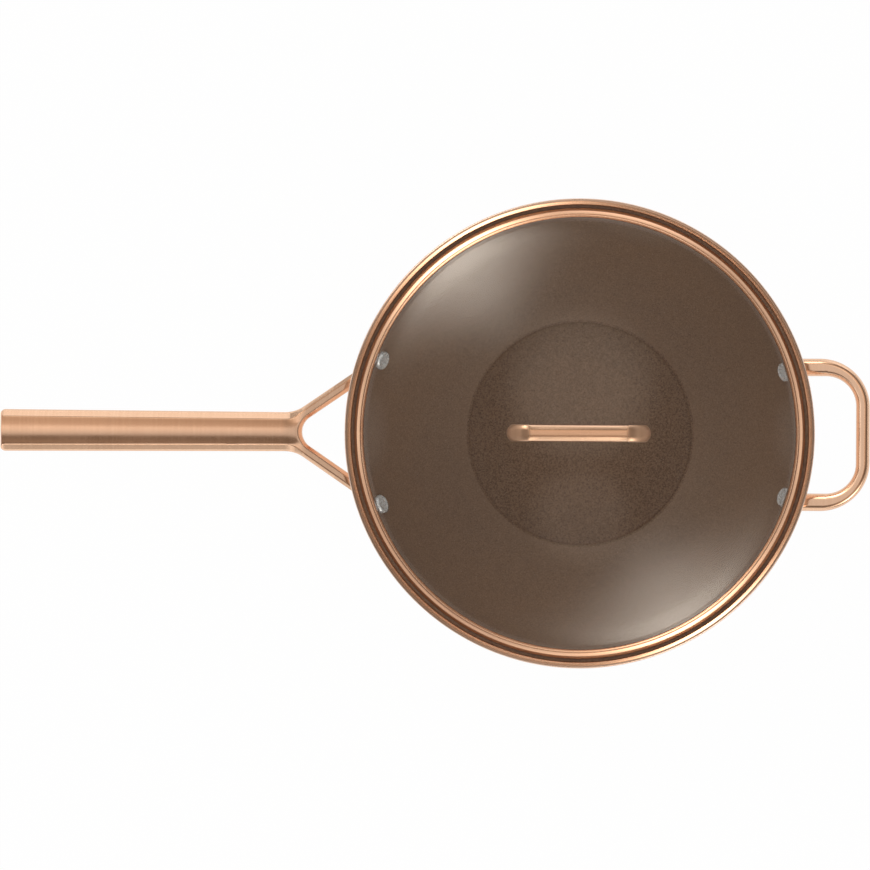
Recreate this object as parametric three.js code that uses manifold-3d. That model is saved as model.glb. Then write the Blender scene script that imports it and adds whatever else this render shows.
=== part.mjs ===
// A covered wok. The pressed bowl stands on a bonded steel disc and carries a forked long handle and a loop
// helper handle, each on two rivets. A glass dome in a metal band rests on the ledge inside the bowl's lip.
// Millimetres, +Z up. The origin is on the bowl's axis, on the face that stands on the hob.
// The long handle points along -X and the helper handle along +X.

import * as THREE from "three";
import { mergeVertices } from "three/addons/utils/BufferGeometryUtils.js";
import Module from "manifold-3d";

const wasm = await Module();
wasm.setup();

const { clamp, degToRad, lerp, smoothstep } = THREE.MathUtils;

// Clearances
const seatGap = 0.3; // between faces that rest on each other
const shankGap = 0.3; // around a rivet or a screw in its hole
const headGap = 0.6; // under a flat rivet head, where the hollow wall comes nearest to its edge
const lidPlay = 1; // between the lid band and the bowl's lip

// Bowl
const floorRadius = 75.2; // flat cooking floor, out to the crease where the wall starts
const mouthRadius = 144.5; // inside of the wall at the lid ledge
const bowlDepth = 78; // cooking floor to lid ledge
const wallStart = degToRad(25); // slope of the wall where it leaves the floor
const wallThickness = 2.8;
const floorThickness = 4.5;
const creaseWidth = 1.8; // groove between the floor and the wall
const creaseDepth = 0.5;
const ledgeWidth = 4.9;
const ledgeFillet = 1.2;
const lipHeight = 4.4;
const lipFlare = 1.45; // lean of the lip over its height

// Base disc
const discThickness = 4;
const discMargin = 2.8; // the bowl's flat underside shows this much round the disc
const discChamfer = 1.2;

// Rivets
const rivetHeadRadius = 6.2;
const rivetHeadHeight = 1.6;
const rivetHeadRound = 1.2;
const rivetShankRadius = 3;
const rivetTailRadius = 4.6;
const rivetTailHeight = 2;
const rivetTailRound = 1.2;

// Feet of both handles
const footRound = 1.6;
const pocketGap = 0.5; // round the rivet's tail, where an arm is spot-faced for it

// Long handle
const longRivetAngle = degToRad(20); // each side of the handle's axis, about the bowl's axis
const longRivetDrop = 18.1; // rivet centre below the lid ledge
const longFootRadius = 9;
const longFootThickness = 5;
const longArmLift = 5.2; // arm centre above the rivet, at the wall
const longArmWidth = 8.2;
const longArmThickness = 9.6;
const longArmRise = degToRad(14);
const forkReach = 43.3; // lip to the point where the two arms meet
const forkFillet = 11.4; // inside the fork
const forkShoulder = 21; // outside the fork
const gripLength = 177.4; // from the fork to the free end
const gripRise = degToRad(9);
const gripForkWidth = 25.3;
const gripEndWidth = 27;
const gripEndThickness = 14;
const gripTopCorner = 0.3; // plan radius of the flat top at the free end
const gripEdge = 5.2; // plan width of the rounding along the grip
const gripEndEdge = 1.3; // plan width of the rounding across the free end
const longArmFlat = 0.6; // flat left along the top of an arm

// Helper handle
const helperRivetAngle = degToRad(17);
const helperRivetDrop = 14.7;
const helperFootRadius = 8.5;
const helperFootThickness = 4.6;
const helperArmLift = 4.2;
const helperReach = 35.5; // lip to the outer edge of the loop
const helperWidth = 99;
const helperArmWidth = 11.4;
const helperGripWidth = 8.9;
const helperOuterCorner = 32;
const helperInnerCorner = 19.5;
const helperThickness = 8.6;
const helperRise = degToRad(11);
const helperFlat = 0.9; // flat left along the top of the grip bar

// Lid glass and band
const glassThickness = 4;
const glassEdgeHeight = 1.8; // of the outer edge, down to which the rim is ground for the band
const glassEdgeRound = 0.5;
const domeRise = 36; // ground rim of the glass to the top of the dome
const domeMargin = 1.3; // ground rim showing inside the band
const bandGauge = 0.8;
const bandHem = 1.8; // thickness of the inner edge, which is folded back on itself
const bandFaceWidth = 4.8; // from the band's shoulder to its inner edge
const bandFootWidth = 6.8; // from the band's outer edge to the inner edge of its foot
const bandLean = 2.8; // the shoulder stands this far inside the outer edge
const bandShoulderRound = 1.4;
const bandFootRound = 0.9;

// Lid handle and its fastenings
const lidScrewSpacing = 80.6;
const fingerRoom = 25; // dome to the underside of the bar
const barDepth = 11; // front to back
const barThickness = 9;
const barFlat = 0.6; // flat left along the bar's front and back
const legWidth = 11.4;
const barOuterCorner = 16;
const barInnerCorner = 8;
const screwRadius = 2.5;
const screwGrip = 12; // thread length inside a leg
const screwTipRoom = 2; // free depth past the screw's tip
const screwHeadRadius = 4.6;
const screwHeadHeight = 2.8;
const screwHeadRound = 1.8;
const washerRadius = 5.1;
const washerThickness = 1;
const gasketRadius = 5.4;
const footGasketLeast = 2.8; // thickness of the ring under a leg, where the dome comes nearest to it
const bushLeast = 1; // thickness of a bush under the glass, where the glass comes nearest to it
const sleeveWall = 1.4; // of the bush inside the glass hole

// Facets
const turnFacets = 60; // round the bowl and the lid
const rivetFacets = 16;
const wallSteps = 8;
const domeSteps = 6;
const edgeSteps = 4; // from the side of a handle to its top
const facetSag = 0.12; // furthest that a facet of a rounded corner lies from its arc
const overcut = 30; // a cutter reaches this far past what it cuts

// Levels and radii that follow from these
const floorLevel = discThickness + floorThickness;
const ledgeLevel = floorLevel + bowlDepth;
const lipLevel = ledgeLevel + lipHeight;
const lipInnerRadius = mouthRadius + ledgeWidth + lipFlare;
const lipOuterRadius = lipInnerRadius + wallThickness;
const lipRound = 0.475 * wallThickness; // each side of the edge, nearly a full round

// The wall is one arc in section. Its slope runs from wallStart at the floor to wallEnd at the ledge.
const wallRun = mouthRadius - floorRadius;
const wallEnd = 2 * Math.atan2(bowlDepth, wallRun) - wallStart;
const wallCurve = wallRun / (Math.sin(wallEnd) - Math.sin(wallStart));
const wallCentreRadius = floorRadius - wallCurve * Math.sin(wallStart);
const wallCentreLevel = floorLevel + wallCurve * Math.cos(wallStart);

// Lid levels are measured from the underside of the band.
const bandRadius = mouthRadius + ledgeWidth - lidPlay;
const bandShoulderRadius = bandRadius - bandLean;
const bandInnerRadius = bandShoulderRadius - bandFaceWidth;
const glassRadius = bandShoulderRadius - bandGauge - seatGap;
const glassRimUnder = bandGauge + seatGap;
const glassRimTop = glassRimUnder + glassThickness;
const glassEdgeTop = glassRimUnder + glassEdgeHeight;
const domeRadius = bandInnerRadius - domeMargin;
const domeCurve = (domeRadius ** 2 + domeRise ** 2) / (2 * domeRise);
const domeTop = glassRimTop + domeRise;
const domeCentre = domeTop - domeCurve;
const screwPlace = lidScrewSpacing / 2;
const glassHoleRadius = screwRadius + shankGap + sleeveWall + shankGap;

// Height of a point of the dome's outer face, or of a face `depth` below it.
function domeHeight(radius, depth = 0) {
  return domeCentre + Math.sqrt((domeCurve - depth) ** 2 - radius ** 2);
}

const legLevel = domeHeight(screwPlace - gasketRadius) + footGasketLeast + 2 * seatGap;
const bushLevel = domeHeight(screwPlace + gasketRadius, glassThickness) - bushLeast - seatGap;
const washerLevel = bushLevel - seatGap - washerThickness;
const screwHeadLevel = washerLevel - seatGap;

// An outline whose corners [x, y, radius] are drawn as arcs where they have a radius.
function roundCorners(corners, closed = true) {
  return corners.flatMap(([x, y, radius = 0], i) => {
    const corner = new THREE.Vector2(x, y);
    const isEnd = !closed && (i === 0 || i === corners.length - 1);
    if (radius === 0 || isEnd) return [corner];
    const back = new THREE.Vector2(...corners.at(i - 1)).sub(corner).normalize();
    const ahead = new THREE.Vector2(...corners[(i + 1) % corners.length]).sub(corner).normalize();
    const half = Math.acos(back.dot(ahead)) / 2;
    const middle = back.clone().add(ahead).setLength(radius / Math.sin(half)).add(corner);
    const start = back.clone().multiplyScalar(radius / Math.tan(half)).add(corner);
    const turn = Math.sign(ahead.cross(back)) * (Math.PI - 2 * half);
    const steps = Math.ceil(Math.abs(turn) / (2 * Math.acos(1 - facetSag / radius)));
    const step = turn / steps;
    return Array.from({ length: steps + 1 }, (_, k) => start.clone().rotateAround(middle, step * k));
  });
}

// A closed geometry as a solid that can be joined and cut.
function solidOf(geometry) {
  const bare = new THREE.BufferGeometry();
  bare.setAttribute("position", geometry.attributes.position);
  bare.setIndex(geometry.index);
  const welded = mergeVertices(bare);
  const corners = welded.index.array;
  const triVerts = [];
  for (let i = 0; i < corners.length; i += 3) {
    const [a, b, c] = corners.slice(i, i + 3);
    if (a !== b && b !== c && c !== a) triVerts.push(a, b, c);
  }
  const vertProperties = welded.attributes.position.array;
  return new wasm.Manifold(
    new wasm.Mesh({ numProp: 3, vertProperties, triVerts: Uint32Array.from(triVerts) }),
  );
}

// A closed profile of [radius, height] corners, turned about Z. A profile given as open ends on the axis.
function turned(corners, facets, closed = false) {
  const profile = roundCorners(corners, closed);
  if (closed) profile.push(profile[0]);
  return solidOf(new THREE.LatheGeometry(profile, facets).rotateX(Math.PI / 2));
}

// A plain round bar along Z, as a cutter.
function bar(radius, bottom, top, facets = rivetFacets) {
  return turned([[0, bottom], [radius, bottom], [radius, top], [0, top]], facets);
}

function moved(solid, matrix) {
  return solid.transform(matrix.elements);
}

// A plate over a plan outline, with its sides rounded from face to face. Rings of the outline are drawn in
// along a quarter ellipse as wide as `edge` along each axis, above and below the middle surface `height`.
function roundedPlate(outline, edge, thickness, height) {
  const count = outline.length;
  const inward = outline.map((point, i) => {
    const before = point.clone().sub(outline.at(i - 1)).normalize();
    const after = outline[(i + 1) % count].clone().sub(point).normalize();
    const across = new THREE.Vector2(-before.y - after.y, before.x + after.x);
    return across.divideScalar(1 + before.dot(after));
  });
  const positions = [];
  const index = [];
  let ring = [];
  for (let k = -edgeSteps; k <= edgeSteps; k += 1) {
    const angle = ((k / edgeSteps) * Math.PI) / 2;
    const drawn = 1 - Math.cos(angle);
    const base = positions.length / 3;
    ring = outline.map((point, i) => edge(point).multiply(inward[i]).multiplyScalar(drawn).add(point));
    ring.forEach((point, i) => {
      const next = (i + 1) % count;
      positions.push(point.x, point.y, height(point) + (Math.sin(angle) * thickness(point)) / 2);
      if (k === edgeSteps) return;
      index.push(base + i, base + next, base + count + next);
      index.push(base + i, base + count + next, base + count + i);
    });
  }
  const top = positions.length / 3 - count;
  for (const [a, b, c] of THREE.ShapeUtils.triangulateShape(ring, [])) {
    index.push(top + a, top + b, top + c);
    index.push(a, c, b);
  }
  const geometry = new THREE.BufferGeometry();
  geometry.setAttribute("position", new THREE.Float32BufferAttribute(positions, 3));
  geometry.setIndex(index);
  return solidOf(geometry);
}

// A point of the wall's section at a slope, `outside` its inner face.
function wallPoint(slope, outside) {
  const reach = wallCurve + outside;
  return [wallCentreRadius + reach * Math.sin(slope), wallCentreLevel - reach * Math.cos(slope)];
}

function wallSlope(level, outside) {
  return Math.acos((wallCentreLevel - level) / (wallCurve + outside));
}

function wallArc(from, to, outside) {
  return Array.from({ length: wallSteps + 1 }, (_, k) => wallPoint(lerp(from, to, k / wallSteps), outside));
}

// Placement at the wall's inner face, with Z out along the wall's normal and Y up the wall.
function wallFrame(azimuth, level) {
  const slope = wallSlope(level, 0);
  const [radius] = wallPoint(slope, 0);
  const out = new THREE.Vector3(Math.sin(slope), 0, -Math.cos(slope));
  const along = new THREE.Vector3(0, 1, 0);
  const up = out.clone().cross(along);
  const frame = new THREE.Matrix4().makeBasis(along, up, out).setPosition(radius, 0, level);
  return new THREE.Matrix4().makeRotationZ(azimuth).multiply(frame);
}

// Corners of the bowl's outer side, from the axis under the floor to the top of the lip, `outside` its face.
function bowlOuterSide(outside) {
  const skin = wallThickness + outside;
  const under = discThickness - outside;
  const shoulder = ledgeLevel - skin;
  return [
    [0, under],
    ...wallArc(wallSlope(under, skin), wallSlope(shoulder, skin), skin),
    [mouthRadius + ledgeWidth + skin, shoulder, ledgeFillet + skin],
    [lipOuterRadius + outside, lipLevel, lipRound],
  ];
}

// The space that the bowl fills, with the clearance that other pieces keep to it.
function bowlEnvelope() {
  const side = bowlOuterSide(seatGap).slice(0, -1);
  const rim = lipOuterRadius + seatGap;
  const top = lipLevel + overcut;
  return turned([...side, [rim, lipLevel], [rim, top], [0, top]], turnFacets);
}

function wokBowl(rivetFrames) {
  const profile = [
    ...bowlOuterSide(0),
    [lipInnerRadius, lipLevel, lipRound],
    [mouthRadius + ledgeWidth, ledgeLevel, ledgeFillet],
    ...wallArc(wallEnd, wallStart, 0),
    [floorRadius - creaseWidth / 2, floorLevel - creaseDepth],
    [floorRadius - creaseWidth, floorLevel],
    [0, floorLevel],
  ];
  const hole = bar(rivetShankRadius + shankGap, -overcut, overcut);
  const drilled = (bowl, frame) => bowl.subtract(moved(hole, frame));
  return rivetFrames.reduce(drilled, turned(profile, turnFacets));
}

function baseDisc() {
  const [flatRadius] = wallPoint(wallSlope(discThickness, wallThickness), wallThickness);
  const radius = flatRadius - discMargin;
  const profile = [
    [0, 0],
    [radius - discChamfer, 0],
    [radius, discChamfer],
    [radius, discThickness],
    [0, discThickness],
  ];
  return turned(profile, turnFacets);
}

// A rivet in its wall frame: flat head inside the bowl, formed tail outside the foot.
function rivet(footThickness) {
  const headUnder = -headGap;
  const headTop = headUnder - rivetHeadHeight;
  const tailUnder = wallThickness + seatGap + footThickness + seatGap;
  const tailTop = tailUnder + rivetTailHeight;
  const profile = [
    [0, headTop],
    [rivetHeadRadius, headTop, rivetHeadRound],
    [rivetHeadRadius, headUnder],
    [rivetShankRadius, headUnder],
    [rivetShankRadius, tailUnder],
    [rivetTailRadius, tailUnder],
    [rivetTailRadius, tailTop, rivetTailRound],
    [0, tailTop],
  ];
  return turned(profile, rivetFacets);
}

// Adds a round foot to a handle at each wall frame, fits it to the wall and drills it for its rivet.
function withFeet(handle, frames, footRadius, footThickness) {
  const face = wallThickness + seatGap + footThickness;
  const foot = turned([[0, 0], [footRadius, 0], [footRadius, face, footRound], [0, face]], rivetFacets);
  const hole = bar(rivetShankRadius + shankGap, 0, face + overcut);
  const pocket = bar(rivetTailRadius + pocketGap, face, face + overcut);
  const footed = frames.reduce((solid, frame) => solid.add(moved(foot, frame)), handle);
  const cutWay = (solid, frame) => solid.subtract(moved(hole, frame)).subtract(moved(pocket, frame));
  return frames.reduce(cutWay, footed.subtract(bowlEnvelope()));
}

// A long handle with a flat-topped grip that forks into two arms, each aimed at its rivet.
function longHandle(frames) {
  const rivetLevel = ledgeLevel - longRivetDrop;
  const rivetRadius = wallPoint(wallSlope(rivetLevel, 0), 0)[0];
  const rivetX = -rivetRadius * Math.cos(longRivetAngle);
  const rivetY = rivetRadius * Math.sin(longRivetAngle);
  const forkX = -lipOuterRadius - forkReach;
  const endX = forkX - gripLength;
  const splay = Math.atan2(rivetY, rivetX - forkX);
  const halfArm = longArmWidth / 2;
  const halfFork = gripForkWidth / 2;
  const halfEnd = gripEndWidth / 2;
  const endCorner = gripEdge + gripTopCorner;
  const crotchX = forkX + halfArm / Math.sin(splay);
  const shoulderX = forkX - halfArm / Math.sin(splay) + halfFork / Math.tan(splay);
  const sideX = halfArm * Math.sin(splay);
  const sideY = halfArm * Math.cos(splay);
  const outline = roundCorners([
    [endX, halfEnd, endCorner],
    [endX, -halfEnd, endCorner],
    [shoulderX, -halfFork, forkShoulder],
    [rivetX - sideX, -rivetY - sideY],
    [rivetX + sideX, -rivetY + sideY],
    [crotchX, 0, forkFillet],
    [rivetX + sideX, rivetY - sideY],
    [rivetX - sideX, rivetY + sideY],
    [shoulderX, halfFork, forkShoulder],
  ]);

  const wallLevel = rivetLevel + longArmLift;
  const wallRadius = wallPoint(wallSlope(wallLevel, wallThickness), wallThickness)[0];
  const armEndX = -wallRadius * Math.cos(longRivetAngle);
  const bendX = crotchX + forkFillet;
  const straightRun = armEndX - bendX;
  const bendRun = bendX - forkX;
  const armSlope = Math.tan(longArmRise);
  const gripSlope = Math.tan(gripRise);
  const thickness = ({ x }) => lerp(longArmThickness, gripEndThickness, (armEndX - x) / (armEndX - endX));
  const armEdge = halfArm - longArmFlat / 2;
  const edge = ({ x }) => {
    const side = lerp(gripEdge, armEdge, smoothstep(x, shoulderX - halfArm, bendX));
    const along = lerp(gripEndEdge, side, smoothstep(x, endX + endCorner, shoulderX - halfArm));
    return new THREE.Vector2(along, side);
  };
  const height = ({ x }) => {
    const run = armEndX - x;
    const bent = clamp(run - straightRun, 0, bendRun);
    const past = Math.max(run - straightRun - bendRun, 0);
    return wallLevel + armSlope * run - (armSlope - gripSlope) * (bent ** 2 / (2 * bendRun) + past);
  };
  return withFeet(roundedPlate(outline, edge, thickness, height), frames, longFootRadius, longFootThickness);
}

// A loop handle: two arms from the wall, joined by a grip bar.
function helperHandle(frames) {
  const rivetLevel = ledgeLevel - helperRivetDrop;
  const rivetRadius = wallPoint(wallSlope(rivetLevel, 0), 0)[0];
  const rootX = rivetRadius * Math.cos(helperRivetAngle);
  const outerX = lipOuterRadius + helperReach;
  const innerX = outerX - helperGripWidth;
  const outerY = helperWidth / 2;
  const innerY = outerY - helperArmWidth;
  const outline = roundCorners([
    [rootX, -outerY],
    [outerX, -outerY, helperOuterCorner],
    [outerX, outerY, helperOuterCorner],
    [rootX, outerY],
    [rootX, innerY],
    [innerX, innerY, helperInnerCorner],
    [innerX, -innerY, helperInnerCorner],
    [rootX, -innerY],
  ]);
  const wallLevel = rivetLevel + helperArmLift;
  const wallRadius = wallPoint(wallSlope(wallLevel, wallThickness), wallThickness)[0];
  const wallX = wallRadius * Math.cos(helperRivetAngle);
  const height = ({ x }) => wallLevel + (x - wallX) * Math.tan(helperRise);
  const drawn = (helperGripWidth - helperFlat) / 2;
  const edge = () => new THREE.Vector2(drawn, drawn);
  const loop = roundedPlate(outline, edge, () => helperThickness, height);
  return withFeet(loop, frames, helperFootRadius, helperFootThickness);
}

// Points [radius, height] of the dome's face `depth` below its outer one, from the axis to `radius`.
function domeArc(radius, depth) {
  const reach = domeCurve - depth;
  const limit = Math.asin(radius / reach);
  return Array.from({ length: domeSteps + 1 }, (_, k) => {
    const angle = (limit * k) / domeSteps;
    return [reach * Math.sin(angle), domeCentre + reach * Math.cos(angle)];
  });
}

// Copies of a solid made for the lid's right-hand screw, one at each screw.
function atBothScrews(solid) {
  const right = new THREE.Matrix4().makeTranslation(screwPlace, 0, 0);
  const left = new THREE.Matrix4().makeTranslation(-screwPlace, 0, 0);
  return moved(solid, right).add(moved(solid, left));
}

function lidGlass() {
  const innerCurve = domeCurve - glassThickness;
  const innerRadius = Math.sqrt(innerCurve ** 2 - (glassRimUnder - domeCentre) ** 2);
  const profile = [
    ...domeArc(innerRadius, glassThickness),
    [glassRadius, glassRimUnder, glassEdgeRound],
    [glassRadius, glassEdgeTop, glassEdgeRound],
    ...domeArc(domeRadius, 0).reverse(),
  ];
  const holes = atBothScrews(bar(glassHoleRadius, glassRimUnder, domeTop + overcut));
  return turned(profile, turnFacets).subtract(holes);
}

// A strip folded round the glass rim: foot on the ledge, leaning outer side, and a face that rises from the
// shoulder to the hemmed inner edge. The face is a gauge thick over the corner inside the shoulder.
function lidBand() {
  const footInner = bandRadius - bandFootWidth;
  const insideRadius = bandShoulderRadius - bandGauge;
  const insideTop = glassEdgeTop + seatGap;
  const rimShare = (bandInnerRadius - domeRadius) / (glassRadius - domeRadius);
  const hemUnder = lerp(glassRimTop, glassEdgeTop, rimShare) + seatGap;
  const hemTop = hemUnder + bandHem;
  const faceSlope = (hemTop - insideTop - bandGauge) / (insideRadius - bandInnerRadius);
  const profile = [
    [footInner, 0],
    [bandRadius, 0, bandFootRound],
    [bandShoulderRadius, hemTop - faceSlope * bandFaceWidth, bandShoulderRound],
    [bandInnerRadius, hemTop],
    [bandInnerRadius, hemUnder],
    [insideRadius, insideTop],
    [insideRadius, bandGauge],
    [footInner, bandGauge],
  ];
  return turned(profile, turnFacets, true);
}

// A bent bar. Its legs are drilled from below for the lid's screws.
function lidHandle() {
  const outerX = screwPlace + legWidth / 2;
  const innerX = screwPlace - legWidth / 2;
  const under = domeTop + fingerRoom;
  const top = under + barThickness;
  const drawn = (barThickness - barFlat) / 2;
  const edge = () => new THREE.Vector2(drawn, drawn);
  const root = legLevel - overcut;
  const outline = roundCorners([
    [-outerX, root],
    [-innerX, root],
    [-innerX, under, barInnerCorner],
    [innerX, under, barInnerCorner],
    [innerX, root],
    [outerX, root],
    [outerX, top, barOuterCorner],
    [-outerX, top, barOuterCorner],
  ]);
  const arch = roundedPlate(outline, edge, () => barDepth, () => 0);
  const upright = moved(arch, new THREE.Matrix4().makeRotationX(Math.PI / 2));
  const below = bar(outerX + overcut, root - overcut, legLevel);
  const bores = bar(screwRadius + shankGap, root, legLevel + screwGrip + screwTipRoom);
  return upright.subtract(below).subtract(atBothScrews(bores));
}

// A soft ring under the right-hand leg, moulded to the dome.
function footGasket() {
  const top = legLevel - seatGap;
  const bore = screwRadius + shankGap;
  const root = glassRimTop;
  const profile = [[bore, root], [gasketRadius, root], [gasketRadius, top], [bore, top]];
  const blank = turned(profile, rivetFacets, true);
  const reach = screwPlace + overcut;
  const dome = domeArc(reach, 0).map(([radius, level]) => [radius, level + seatGap]).reverse();
  const under = turned([[0, 0], [reach, 0], ...dome], turnFacets);
  return moved(blank, new THREE.Matrix4().makeTranslation(screwPlace, 0, 0)).subtract(under);
}

// A soft top-hat bush under the right-hand hole: a flange moulded to the glass and a sleeve through it.
function screwGasket() {
  const bore = screwRadius + shankGap;
  const sleeve = bore + sleeveWall;
  const sleeveTop = domeHeight(screwPlace + sleeve) - seatGap;
  const flangeTop = domeTop;
  const flange = [[bore, bushLevel], [gasketRadius, bushLevel], [gasketRadius, flangeTop], [bore, flangeTop]];
  const tube = [[bore, bushLevel], [sleeve, bushLevel], [sleeve, sleeveTop], [bore, sleeveTop]];
  const place = new THREE.Matrix4().makeTranslation(screwPlace, 0, 0);
  const reach = screwPlace + overcut;
  const lowered = domeArc(reach, glassThickness).map(([radius, level]) => [radius, level - seatGap]);
  const ceiling = turned([...lowered, [reach, domeTop + overcut], [0, domeTop + overcut]], turnFacets);
  const moulded = moved(turned(flange, rivetFacets, true), place).subtract(ceiling);
  return moulded.add(moved(turned(tube, rivetFacets, true), place));
}

function screwWasher() {
  const bore = screwRadius + shankGap;
  const top = washerLevel + washerThickness;
  const profile = [[bore, washerLevel], [washerRadius, washerLevel], [washerRadius, top], [bore, top]];
  const place = new THREE.Matrix4().makeTranslation(screwPlace, 0, 0);
  return moved(turned(profile, rivetFacets, true), place);
}

function lidScrew() {
  const headBottom = screwHeadLevel - screwHeadHeight;
  const tip = legLevel + screwGrip;
  const profile = [
    [0, headBottom],
    [screwHeadRadius, headBottom, screwHeadRound],
    [screwHeadRadius, screwHeadLevel],
    [screwRadius, screwHeadLevel],
    [screwRadius, tip],
    [0, tip],
  ];
  const place = new THREE.Matrix4().makeTranslation(screwPlace, 0, 0);
  return moved(turned(profile, rivetFacets), place);
}

// Finishes
function finish(color, roughness, metalness, opacity = 1) {
  const transparent = opacity < 1;
  return new THREE.MeshStandardMaterial({ color, roughness, metalness, opacity, transparent });
}

const copperFinish = () => finish("#d09a76", 0.3, 1);
const coatingFinish = () => finish("#6b5848", 0.5, 0);
const steelFinish = () => finish("#c6c3bd", 0.35, 1);
const siliconeFinish = () => finish("#4a4643", 0.8, 0);
const glassFinish = () => finish("#dfe4e1", 0.05, 0, 0.25);

function mesh(name, solid, material) {
  const { vertProperties, triVerts } = solid.getMesh();
  const geometry = new THREE.BufferGeometry();
  geometry.setAttribute("position", new THREE.BufferAttribute(vertProperties, 3));
  geometry.setIndex(new THREE.BufferAttribute(triVerts, 1));
  geometry.computeVertexNormals();
  const piece = new THREE.Mesh(geometry, material);
  piece.name = name;
  return piece;
}

// Two rivet places, front first, each side of a handle that points along the azimuth `middle`.
function rivetFrames(middle, angle, drop) {
  const towardsFront = Math.cos(middle) > 0 ? -angle : angle;
  return [towardsFront, -towardsFront].map((side) => wallFrame(middle + side, ledgeLevel - drop));
}

const longFrames = rivetFrames(Math.PI, longRivetAngle, longRivetDrop);
const helperFrames = rivetFrames(0, helperRivetAngle, helperRivetDrop);

const pan = new THREE.Group();
pan.add(mesh("wok_bowl", wokBowl([...longFrames, ...helperFrames]), coatingFinish()));
pan.add(mesh("base_disc", baseDisc(), steelFinish()));
pan.add(mesh("long_handle", longHandle(longFrames), copperFinish()));
pan.add(mesh("helper_handle", helperHandle(helperFrames), copperFinish()));
for (const [handle, frames, footThickness] of [
  ["long_handle", longFrames, longFootThickness],
  ["helper_handle", helperFrames, helperFootThickness],
]) {
  ["front", "back"].forEach((side, i) => {
    const piece = mesh(`${handle}_rivet_${side}`, rivet(footThickness), steelFinish());
    piece.applyMatrix4(frames[i]);
    pan.add(piece);
  });
}

const lid = new THREE.Group();
lid.position.z = ledgeLevel + seatGap;
lid.add(mesh("lid_glass", lidGlass(), glassFinish()));
lid.add(mesh("lid_band", lidBand(), copperFinish()));
lid.add(mesh("lid_handle", lidHandle(), copperFinish()));
for (const [side, turn] of [["right", 0], ["left", Math.PI]]) {
  const fastening = new THREE.Group();
  fastening.rotation.z = turn;
  fastening.add(mesh(`lid_foot_gasket_${side}`, footGasket(), siliconeFinish()));
  fastening.add(mesh(`lid_screw_gasket_${side}`, screwGasket(), siliconeFinish()));
  fastening.add(mesh(`lid_screw_washer_${side}`, screwWasher(), steelFinish()));
  fastening.add(mesh(`lid_screw_${side}`, lidScrew(), steelFinish()));
  lid.add(fastening);
}

const wok = new THREE.Group();
wok.add(pan, lid);

export default wok;
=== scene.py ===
import math

import bmesh
import bpy
from mathutils import Matrix, Vector


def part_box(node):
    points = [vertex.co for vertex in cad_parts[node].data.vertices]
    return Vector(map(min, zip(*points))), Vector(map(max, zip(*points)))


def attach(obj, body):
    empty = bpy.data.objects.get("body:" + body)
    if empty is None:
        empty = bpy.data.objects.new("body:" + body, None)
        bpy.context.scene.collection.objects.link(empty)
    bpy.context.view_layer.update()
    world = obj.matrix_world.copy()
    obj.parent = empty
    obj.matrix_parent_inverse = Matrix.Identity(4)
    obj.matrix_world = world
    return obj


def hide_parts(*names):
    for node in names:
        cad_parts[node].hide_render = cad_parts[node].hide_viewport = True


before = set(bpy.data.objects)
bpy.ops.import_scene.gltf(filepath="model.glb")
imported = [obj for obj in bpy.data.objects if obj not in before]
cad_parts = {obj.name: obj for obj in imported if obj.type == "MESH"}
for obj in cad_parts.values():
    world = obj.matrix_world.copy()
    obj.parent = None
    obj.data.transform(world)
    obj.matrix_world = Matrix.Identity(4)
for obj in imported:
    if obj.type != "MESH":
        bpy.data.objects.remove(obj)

# Wok with a glass lid, seen from straight above. Shapes are worked out in millimetres and scaled at the end.
# The long handle points along -X, the helper handle along +X, the lid's bar lies along X.

mm = 0.001
scene = bpy.context.scene
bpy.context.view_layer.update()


# Shapes

def levels(node):
    low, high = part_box(node)
    return low.z / mm, high.z / mm


# An outline whose corners (x, y, radius) become arcs
def roundCorners(corners, closed=True, step=9):
    points = []
    for i, corner in enumerate(corners):
        here = Vector(corner[:2])
        radius = corner[2] if len(corner) > 2 else 0
        isEnd = not closed and i in (0, len(corners) - 1)
        if radius == 0 or isEnd:
            points.append(here)
            continue
        back = (Vector(corners[i - 1][:2]) - here).normalized()
        ahead = (Vector(corners[(i + 1) % len(corners)][:2]) - here).normalized()
        half = back.angle(ahead) / 2
        middle = here + (back + ahead).normalized() * radius / math.sin(half)
        start = here + back * radius / math.tan(half) - middle
        turn = math.copysign(math.pi - 2 * half, ahead.cross(back))
        count = max(2, math.ceil(math.degrees(abs(turn)) / step))
        points += [middle + Matrix.Rotation(turn * k / count, 2) @ start for k in range(count + 1)]
    return points


# A profile of (radius, height) turned about Z; one that isn't closed starts and ends on the axis
def turned(profile, around=96, closed=False, zone=None):
    bm = bmesh.new()
    rings = []
    for radius, height in profile:
        if radius < 1e-6:
            rings.append([bm.verts.new((0, 0, height))] * around)
            continue
        ring = []
        for k in range(around):
            turn = 2 * math.pi * k / around
            ring.append(bm.verts.new((radius * math.cos(turn), radius * math.sin(turn), height)))
        rings.append(ring)
    if closed:
        rings.append(rings[0])
    for i in range(len(rings) - 1):
        for k in range(around):
            n = (k + 1) % around
            corners = (rings[i][k], rings[i][n], rings[i + 1][n], rings[i + 1][k])
            face = bm.faces.new(list(dict.fromkeys(corners)))
            if zone:
                face.material_index = zone(i)
    bmesh.ops.recalc_face_normals(bm, faces=bm.faces)
    return bm


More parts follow.
